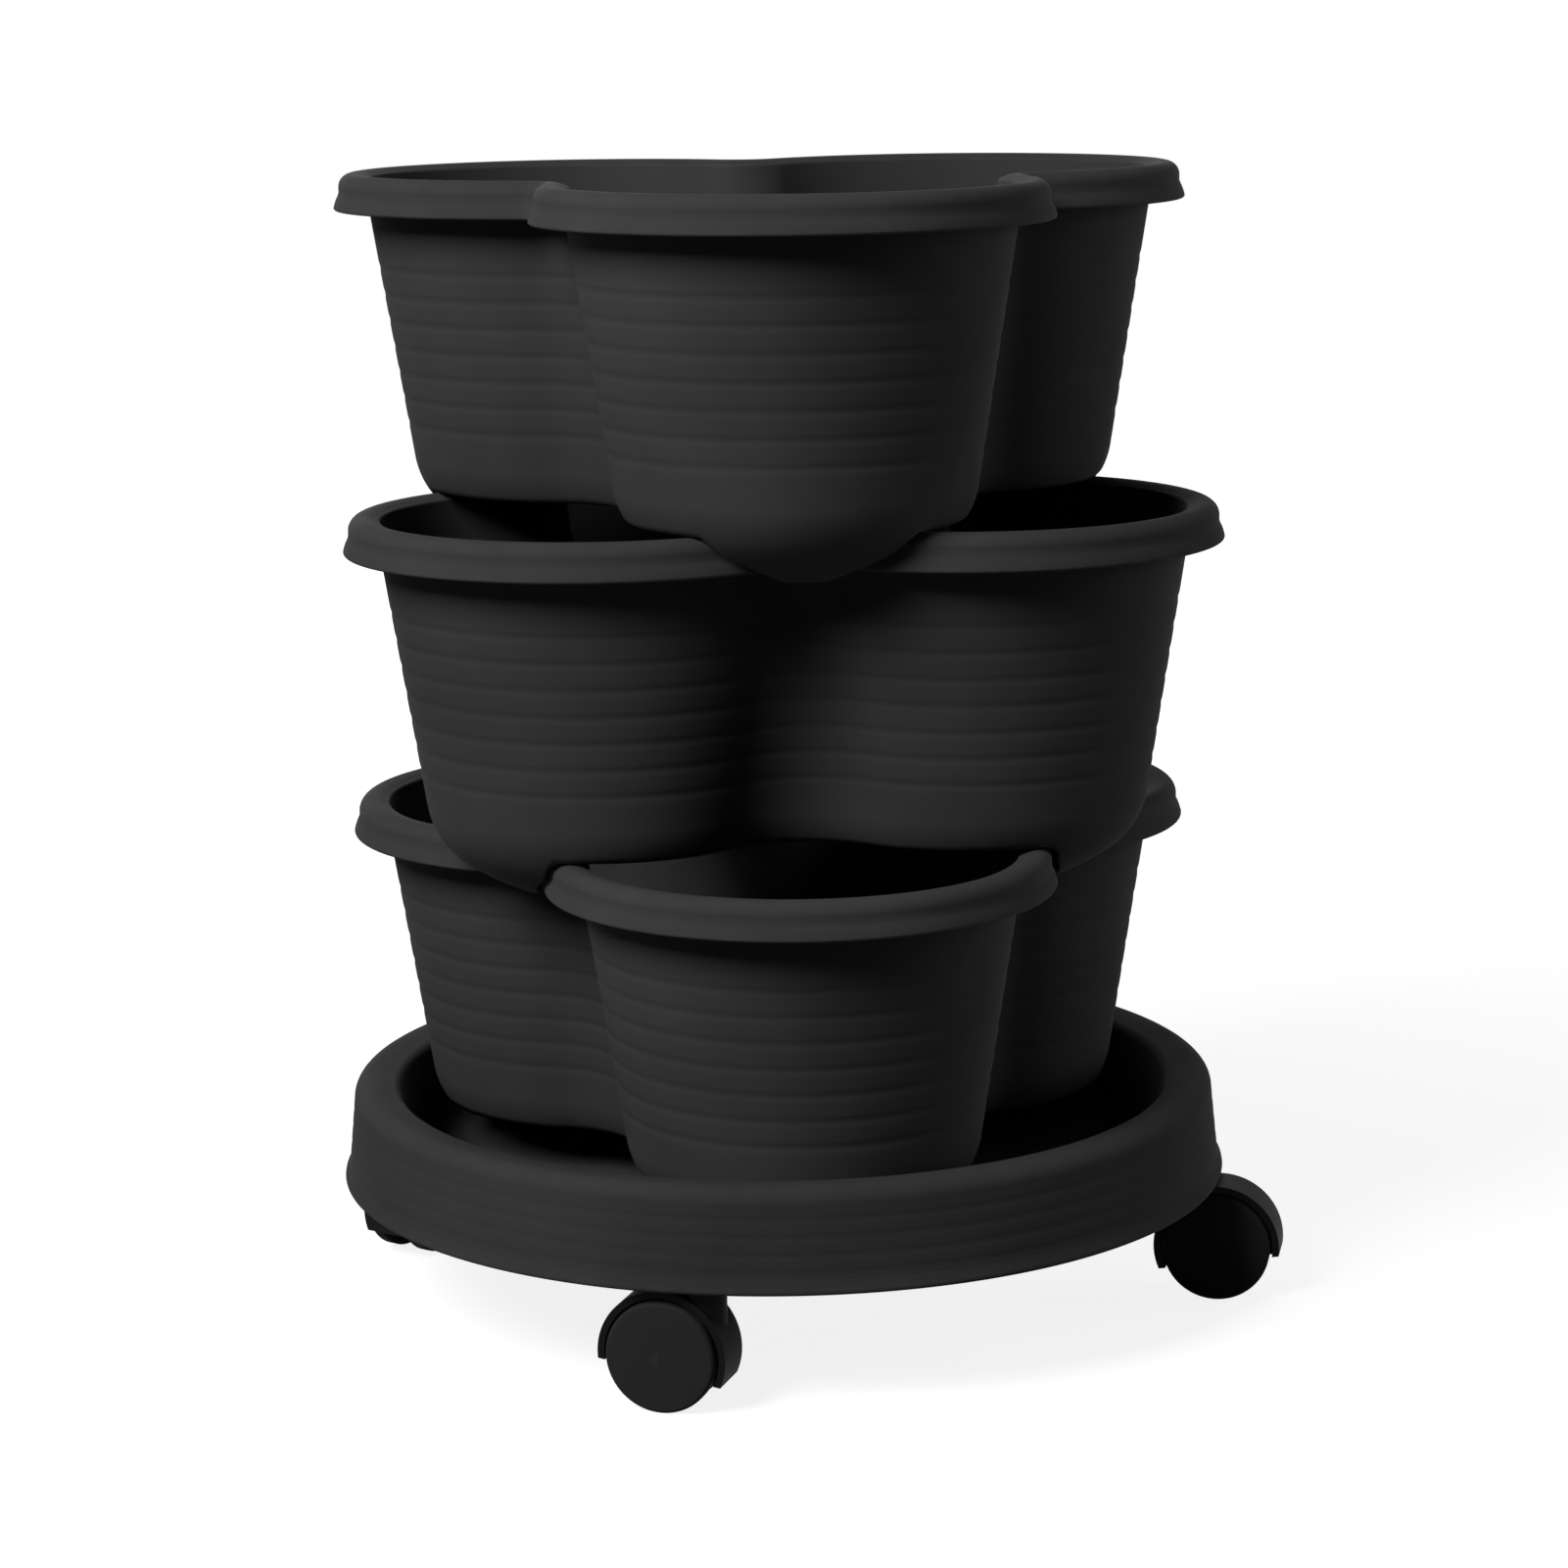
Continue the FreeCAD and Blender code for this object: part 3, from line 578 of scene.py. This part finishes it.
def add_pots(material):
    """A detailed pot in the place of each of the frame's pots, every other one turned by half a turn."""
    data = drained(pot_mesh())
    data.materials.append(material)
    for number, tier in enumerate(("lower_tier", "middle_tier", "upper_tier")):
        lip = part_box(tier)[0][2] + (BODY_DEPTH + CHIN_DEPTH) * MM
        turn = Matrix.Rotation(math.pi if number % 2 else 0.0, 4, "Z")
        stand_in(tier + "_pot", data, tier, Matrix.Translation((0, 0, lip)) @ turn)


def skirt_radius_at(level):
    """Outside radius of the tray's skirt at a height."""
    return TRAY_RADIUS - SKIRT_BEAD - (level - SKIRT_BOTTOM) * math.tan(SKIRT_DRAFT)


def tray_top(inset):
    """The tray's top moved inwards, as radius and level, from the pan over the crest to the shoulder.

    Across the crest it is a parabola, CREST_CROWN high at its middle and CREST_RISE high at its outer end.
    """
    edge_level = TRAY_TOP - CREST_RISE - WELL_EDGE_RADIUS
    edge = (skirt_radius_at(TRAY_TOP) - CREST_WIDTH + WELL_EDGE_RADIUS, edge_level)
    corner_level = PAN_TOP + WELL_CORNER_RADIUS
    corner_x = edge[0] - (WELL_EDGE_RADIUS + WELL_CORNER_RADIUS) / math.cos(WELL_DRAFT)
    corner = (corner_x - (edge_level - corner_level) * math.tan(WELL_DRAFT), corner_level)
    shoulder_level = TRAY_TOP - TRAY_SHOULDER_RADIUS
    shoulder = (skirt_radius_at(shoulder_level) - TRAY_SHOULDER_RADIUS, shoulder_level)
    points = arc(corner, WELL_CORNER_RADIUS + inset, -QUARTER, -WELL_DRAFT, WELL_STEPS)
    points += arc(edge, WELL_EDGE_RADIUS - inset, math.pi - WELL_DRAFT, QUARTER, WELL_STEPS)
    for number in range(1, CREST_STEPS):
        share = number / CREST_STEPS
        rise = CREST_RISE * share + 4.0 * (CREST_CROWN - CREST_RISE / 2.0) * share * (1.0 - share)
        points.append((edge[0] + (shoulder[0] - edge[0]) * share, TRAY_TOP - CREST_RISE + rise - inset))
    return points + arc(shoulder, TRAY_SHOULDER_RADIUS - inset, QUARTER, 0.0, TRAY_SHOULDER_STEPS)


def tray_skirt():
    """The skirt's outside as radius and level, from the shoulder down over its grooves to its lower edge."""
    start = TRAY_TOP - TRAY_SHOULDER_RADIUS - SKIRT_FIRST_ROW
    bead_top = SKIRT_BOTTOM + SKIRT_BEAD_HEIGHT
    points = []
    for number in range(SKIRT_STEPS + 1):
        level = start + (bead_top - start) * number / SKIRT_STEPS
        groove = soft_groove(level, TRAY_TOP - TRAY_GROOVE_FIRST, TRAY_GROOVE_PITCH, TRAY_GROOVE_COUNT,
                             TRAY_GROOVE_WIDTH, TRAY_GROOVE_DEPTH)
        points.append((skirt_radius_at(level) - groove, level))
    points.append((TRAY_RADIUS - BEAD_SHRINK, SKIRT_BOTTOM + SKIRT_BEAD + BEAD_RUN))
    bead = (TRAY_RADIUS - SKIRT_BEAD, SKIRT_BOTTOM + SKIRT_BEAD)
    return points + arc(bead, SKIRT_BEAD, 0.0, -QUARTER, BEAD_STEPS)


def tray_profile():
    """The whole skin as radius and level, from the pan's middle round to the middle of its underside."""
    inner_foot = (skirt_radius_at(SKIRT_BOTTOM) - TRAY_WALL, SKIRT_BOTTOM)
    points = [(radius, PAN_TOP) for radius in PAN_RINGS_ABOVE]
    points += tray_top(0.0) + tray_skirt() + [inner_foot] + tray_top(TRAY_WALL)[::-1]
    return points + [(radius, PAN_TOP - TRAY_WALL) for radius in PAN_RINGS_BELOW]


def socket_profile():
    """A socket for a caster's stem as radius and level, from its cap round to the top of its bore."""
    bore_top = SKIRT_BOTTOM + SOCKET_DEPTH
    points = [(0.0, bore_top + TRAY_WALL), (SOCKET_RADIUS, bore_top + TRAY_WALL)]
    points.append((SOCKET_RADIUS, SKIRT_BOTTOM + SOCKET_CHAMFER))
    points.append((SOCKET_RADIUS - SOCKET_CHAMFER, SKIRT_BOTTOM))
    points.append((SOCKET_BORE + SOCKET_LEAD_IN, SKIRT_BOTTOM))
    points.append((SOCKET_BORE, SKIRT_BOTTOM + SOCKET_LEAD_IN))
    return points + [(SOCKET_BORE, bore_top), (0.0, bore_top)]


def add_lathe(mesh, profile, centre, columns):
    """A surface of revolution about an upright axis, given its profile in millimetres."""
    rings = []
    for column in range(columns):
        across = outwards(2.0 * math.pi * column / columns)
        rings.append([mesh.verts.new((centre + across * radius + Vector((0, 0, level))) * MM)
                      for radius, level in profile])
    for left, right in zip(rings, rings[1:] + rings[:1]):
        for row in range(len(profile) - 1):
            mesh.faces.new((left[row], right[row], right[row + 1], left[row + 1]))


def add_rib(mesh, azimuth):
    """One upright rib in the tray's hollow rim, sunk halfway into the skin."""
    sunk = TRAY_WALL / 2.0
    path = [(radius, max(level, PAN_TOP - sunk)) for radius, level in tray_top(sunk)]
    path.append((skirt_radius_at(PAN_TOP - sunk) - sunk, PAN_TOP - sunk))
    out = outwards(azimuth)
    aside = outwards(azimuth + QUARTER) * TRAY_RIB_WIDTH / 2.0
    sides = []
    for side in (-aside, aside):
        sides.append([mesh.verts.new((out * radius + side + Vector((0, 0, level))) * MM)
                      for radius, level in path])
    for number in range(len(path)):
        mesh.faces.new((sides[0][number - 1], sides[0][number], sides[1][number], sides[1][number - 1]))
    mesh.faces.new(sides[0])
    mesh.faces.new(sides[1][::-1])


def add_tray(material):
    """The tray's skin, and the ribs and sockets in its hollow rim."""
    skin = bmesh.new()
    add_lathe(skin, tray_profile(), Vector((0, 0, 0)), TRAY_COLUMNS)
    inside = bmesh.new()
    for number in range(TRAY_RIB_COUNT):
        add_rib(inside, math.radians(STEM_AZIMUTH + 360.0 / TRAY_RIB_COUNT * number))
    for number in range(STEM_COUNT):
        stem_axis = outwards(math.radians(STEM_AZIMUTH + 360.0 / STEM_COUNT * number)) * STEM_CIRCLE_RADIUS
        add_lathe(inside, socket_profile(), stem_axis, SOCKET_COLUMNS)
    for name, mesh in (("tray_skin", skin), ("tray_ribs_and_sockets", inside)):
        data = finished_mesh(name, mesh, TRAY_SHARP_ANGLE)
        data.materials.append(material)
        stand_in(name, data, "tray", Matrix())


def new_material(name):
    """A new material, and its node tree with a Principled shader in it."""
    material = bpy.data.materials.new(name)
    material.use_nodes = True
    return material, material.node_tree


def noise(tree, scale, detail):
    """The strength of a noise pattern laid over a piece in its own coordinates, in marks per metre."""
    place = tree.nodes.new("ShaderNodeTexCoord")
    pattern = tree.nodes.new("ShaderNodeTexNoise")
    pattern.inputs["Scale"].default_value = scale
    pattern.inputs["Detail"].default_value = detail
    tree.links.new(place.outputs["Object"], pattern.inputs["Vector"])
    return pattern.outputs["Fac"]


def spread(tree, value, given, wanted):
    """A value in one span of numbers brought into another."""
    ranged = tree.nodes.new("ShaderNodeMapRange")
    ranged.inputs["From Min"].default_value = given[0]
    ranged.inputs["From Max"].default_value = given[1]
    ranged.inputs["To Min"].default_value = wanted[0]
    ranged.inputs["To Max"].default_value = wanted[1]
    tree.links.new(value, ranged.inputs["Value"])
    return ranged.outputs["Result"]


def combined(tree, operation, first, second):
    """Two values brought together by a Math node's operation."""
    node = tree.nodes.new("ShaderNodeMath")
    node.operation = operation
    tree.links.new(first, node.inputs[0])
    tree.links.new(second, node.inputs[1])
    return node.outputs[0]


def tinted(tree, colour, brightness):
    """A colour that a varying brightness makes lighter and darker over the surface."""
    node = tree.nodes.new("ShaderNodeVectorMath")
    node.operation = "SCALE"
    node.inputs[0].default_value = colour
    tree.links.new(brightness, node.inputs["Scale"])
    return node.outputs[0]


def moulded_plastic(name, colour, roughness, specular, grain, edge_wear_and_highlight):
    """Moulded plastic: a fine grain, soft patches of tone and sheen, and paler convex edges, partly rubbed
    wear and partly a painted highlight.
    """
    material, tree = new_material(name)
    shader = tree.nodes["Principled BSDF"]
    shader.inputs["Specular IOR Level"].default_value = specular
    tone = spread(tree, noise(tree, *TONE_NOISE), NOISE_SPAN, (1.0 - TONE_SWING, 1.0 + TONE_SWING))
    geometry = tree.nodes.new("ShaderNodeNewGeometry")
    # Convex edges, found by pointiness, are made paler in patches: partly rubbed wear, partly a painted
    # highlight along the edges
    edges = spread(tree, geometry.outputs["Pointiness"], EDGE_POINTINESS, (0.0, 1.0))
    patches = spread(tree, noise(tree, *EDGE_WEAR_AND_HIGHLIGHT_NOISE), EDGE_WEAR_AND_HIGHLIGHT_NOISE_SPAN, EDGE_WEAR_AND_HIGHLIGHT_SPAN)
    brightness = tree.nodes.new("ShaderNodeMath")
    brightness.operation = "MULTIPLY_ADD"
    brightness.inputs[1].default_value = edge_wear_and_highlight
    tree.links.new(combined(tree, "MULTIPLY", edges, patches), brightness.inputs[0])
    tree.links.new(tone, brightness.inputs[2])
    tree.links.new(tinted(tree, colour, brightness.outputs[0]), shader.inputs["Base Color"])
    sheen = (roughness - SHEEN_SWING, roughness + SHEEN_SWING)
    tree.links.new(spread(tree, noise(tree, *SHEEN_NOISE), NOISE_SPAN, sheen), shader.inputs["Roughness"])
    bump = tree.nodes.new("ShaderNodeBump")
    bump.inputs["Strength"].default_value = grain
    bump.inputs["Distance"].default_value = GRAIN_HEIGHT
    tree.links.new(noise(tree, *GRAIN_NOISE), bump.inputs["Height"])
    tree.links.new(bump.outputs["Normal"], shader.inputs["Normal"])
    return material


def zinc_plate(name):
    """Plated steel with cloudy patches of tone and sheen."""
    material, tree = new_material(name)
    shader = tree.nodes["Principled BSDF"]
    shader.inputs["Metallic"].default_value = 1.0
    tone = spread(tree, noise(tree, *STEEL_TONE_NOISE), NOISE_SPAN, STEEL_TONE_SPAN)
    tree.links.new(tinted(tree, STEEL_COLOUR, tone), shader.inputs["Base Color"])
    sheen = spread(tree, noise(tree, *STEEL_SHEEN_NOISE), NOISE_SPAN, STEEL_ROUGHNESS)
    tree.links.new(sheen, shader.inputs["Roughness"])
    return material


def dress_nodes(plastics, metal):
    """The frame's own pieces in their materials: hoods and wheels in plastic, the casters' rest in metal."""
    kinds = {"hood": plastics["hood"], "wheel_a": plastics["wheel"], "wheel_b": plastics["wheel"]}
    for name, piece in nodes.items():
        kind = name.partition("_caster_")[2]
        piece.data.materials.clear()
        piece.data.materials.append(kinds.get(kind, metal) if kind else plastics["pot"])


def grey(value):
    """A neutral colour for a shader's socket."""
    return value, value, value, 1.0


def seen_white(tree):
    """1 for rays that show the white studio, those of the camera, gloss and glass, and 0 for the rest."""
    path = tree.nodes.new("ShaderNodeLightPath")
    either = combined(tree, "MAXIMUM", path.outputs["Is Camera Ray"], path.outputs["Is Glossy Ray"])
    return combined(tree, "MAXIMUM", either, path.outputs["Is Transmission Ray"])


def add_floor():
    """A pale floor that keeps the object's shadow and is white where the camera sees it unshaded."""
    bpy.ops.mesh.primitive_plane_add(size=FLOOR_SIZE)
    floor = bpy.context.object
    floor.name = "floor"
    material, tree = new_material("pale_floor")
    unseen = tree.nodes["Principled BSDF"]
    unseen.inputs["Base Color"].default_value = grey(FLOOR_BOUNCE)
    unseen.inputs["Roughness"].default_value = FLOOR_ROUGHNESS
    unseen.inputs["Specular IOR Level"].default_value = 0.0
    shaded = tree.nodes.new("ShaderNodeBsdfDiffuse")
    shaded.inputs["Color"].default_value = grey(FLOOR_SHADE)
    place = tree.nodes.new("ShaderNodeTexCoord")
    reach = tree.nodes.new("ShaderNodeVectorMath")
    reach.operation = "LENGTH"
    tree.links.new(place.outputs["Object"], reach.inputs[0])
    glow = tree.nodes.new("ShaderNodeEmission")
    strength = spread(tree, reach.outputs["Value"], FLOOR_GLOW_REACH, FLOOR_GLOW)
    tree.links.new(strength, glow.inputs["Strength"])
    seen = tree.nodes.new("ShaderNodeAddShader")
    tree.links.new(shaded.outputs[0], seen.inputs[0])
    tree.links.new(glow.outputs[0], seen.inputs[1])
    mix = tree.nodes.new("ShaderNodeMixShader")
    tree.links.new(seen_white(tree), mix.inputs[0])
    tree.links.new(unseen.outputs[0], mix.inputs[1])
    tree.links.new(seen.outputs[0], mix.inputs[2])
    tree.links.new(mix.outputs[0], tree.nodes["Material Output"].inputs[0])
    floor.data.materials.append(material)


def add_world():
    """A white surround that the camera, gloss and glass see, and that gives no light of its own."""
    world = bpy.data.worlds.new("studio")
    bpy.context.scene.world = world
    world.use_nodes = True
    tree = world.node_tree
    background = tree.nodes["Background"]
    background.inputs["Color"].default_value = grey(1.0)
    tree.links.new(seen_white(tree), background.inputs["Strength"])


def add_lamp(name, azimuth, elevation, size, power):
    """A square soft box that faces the tower's middle from an azimuth and an elevation."""
    data = bpy.data.lights.new(name, "AREA")
    data.size = size
    data.energy = power
    lamp = bpy.data.objects.new(name, data)
    lift = math.radians(elevation)
    away = outwards(math.radians(azimuth)) * math.cos(lift) + Vector((0, 0, math.sin(lift)))
    lamp.location = Vector((0, 0, LAMP_AIM_HEIGHT)) + away * LAMP_DISTANCE
    lamp.rotation_mode = "QUATERNION"
    lamp.rotation_quaternion = away.to_track_quat("Z", "Y")
    bpy.context.scene.collection.objects.link(lamp)


def add_camera():
    """The camera at the photograph's place, turned by yaw, pitch and roll about its own line of sight."""
    yaw = math.radians(CAMERA_YAW)
    pitch = math.radians(CAMERA_PITCH)
    roll = math.radians(CAMERA_ROLL)
    forward = Vector((math.sin(yaw) * math.cos(pitch), math.cos(yaw) * math.cos(pitch), -math.sin(pitch)))
    right = Vector((math.cos(yaw), -math.sin(yaw), 0.0))
    up = right.cross(forward)
    rolled_right = right * math.cos(roll) + up * math.sin(roll)
    rolled_up = up * math.cos(roll) - right * math.sin(roll)
    turn = Matrix.Rotation(math.radians(CAMERA_AZIMUTH), 3, "Z")
    axes = Matrix((turn @ rolled_right, turn @ rolled_up, turn @ -forward)).transposed()
    data = bpy.data.cameras.new("camera")
    data.lens = CAMERA_LENS
    data.sensor_width = SENSOR
    camera = bpy.data.objects.new("camera", data)
    place = turn @ Vector((0, -CAMERA_DISTANCE, CAMERA_HEIGHT))
    camera.matrix_world = Matrix.Translation(place) @ axes.to_4x4()
    bpy.context.scene.collection.objects.link(camera)
    bpy.context.scene.camera = camera


add_camera()
plastics = {kind: moulded_plastic(kind + "_plastic", **look) for kind, look in PLASTICS.items()}
dress_nodes(plastics, zinc_plate("zinc_plated_steel"))
add_pots(plastics["pot"])
add_tray(plastics["tray"])
add_floor()
add_world()
for lamp in LAMPS:
    add_lamp(*lamp)
bpy.context.scene.view_settings.view_transform = "Standard"
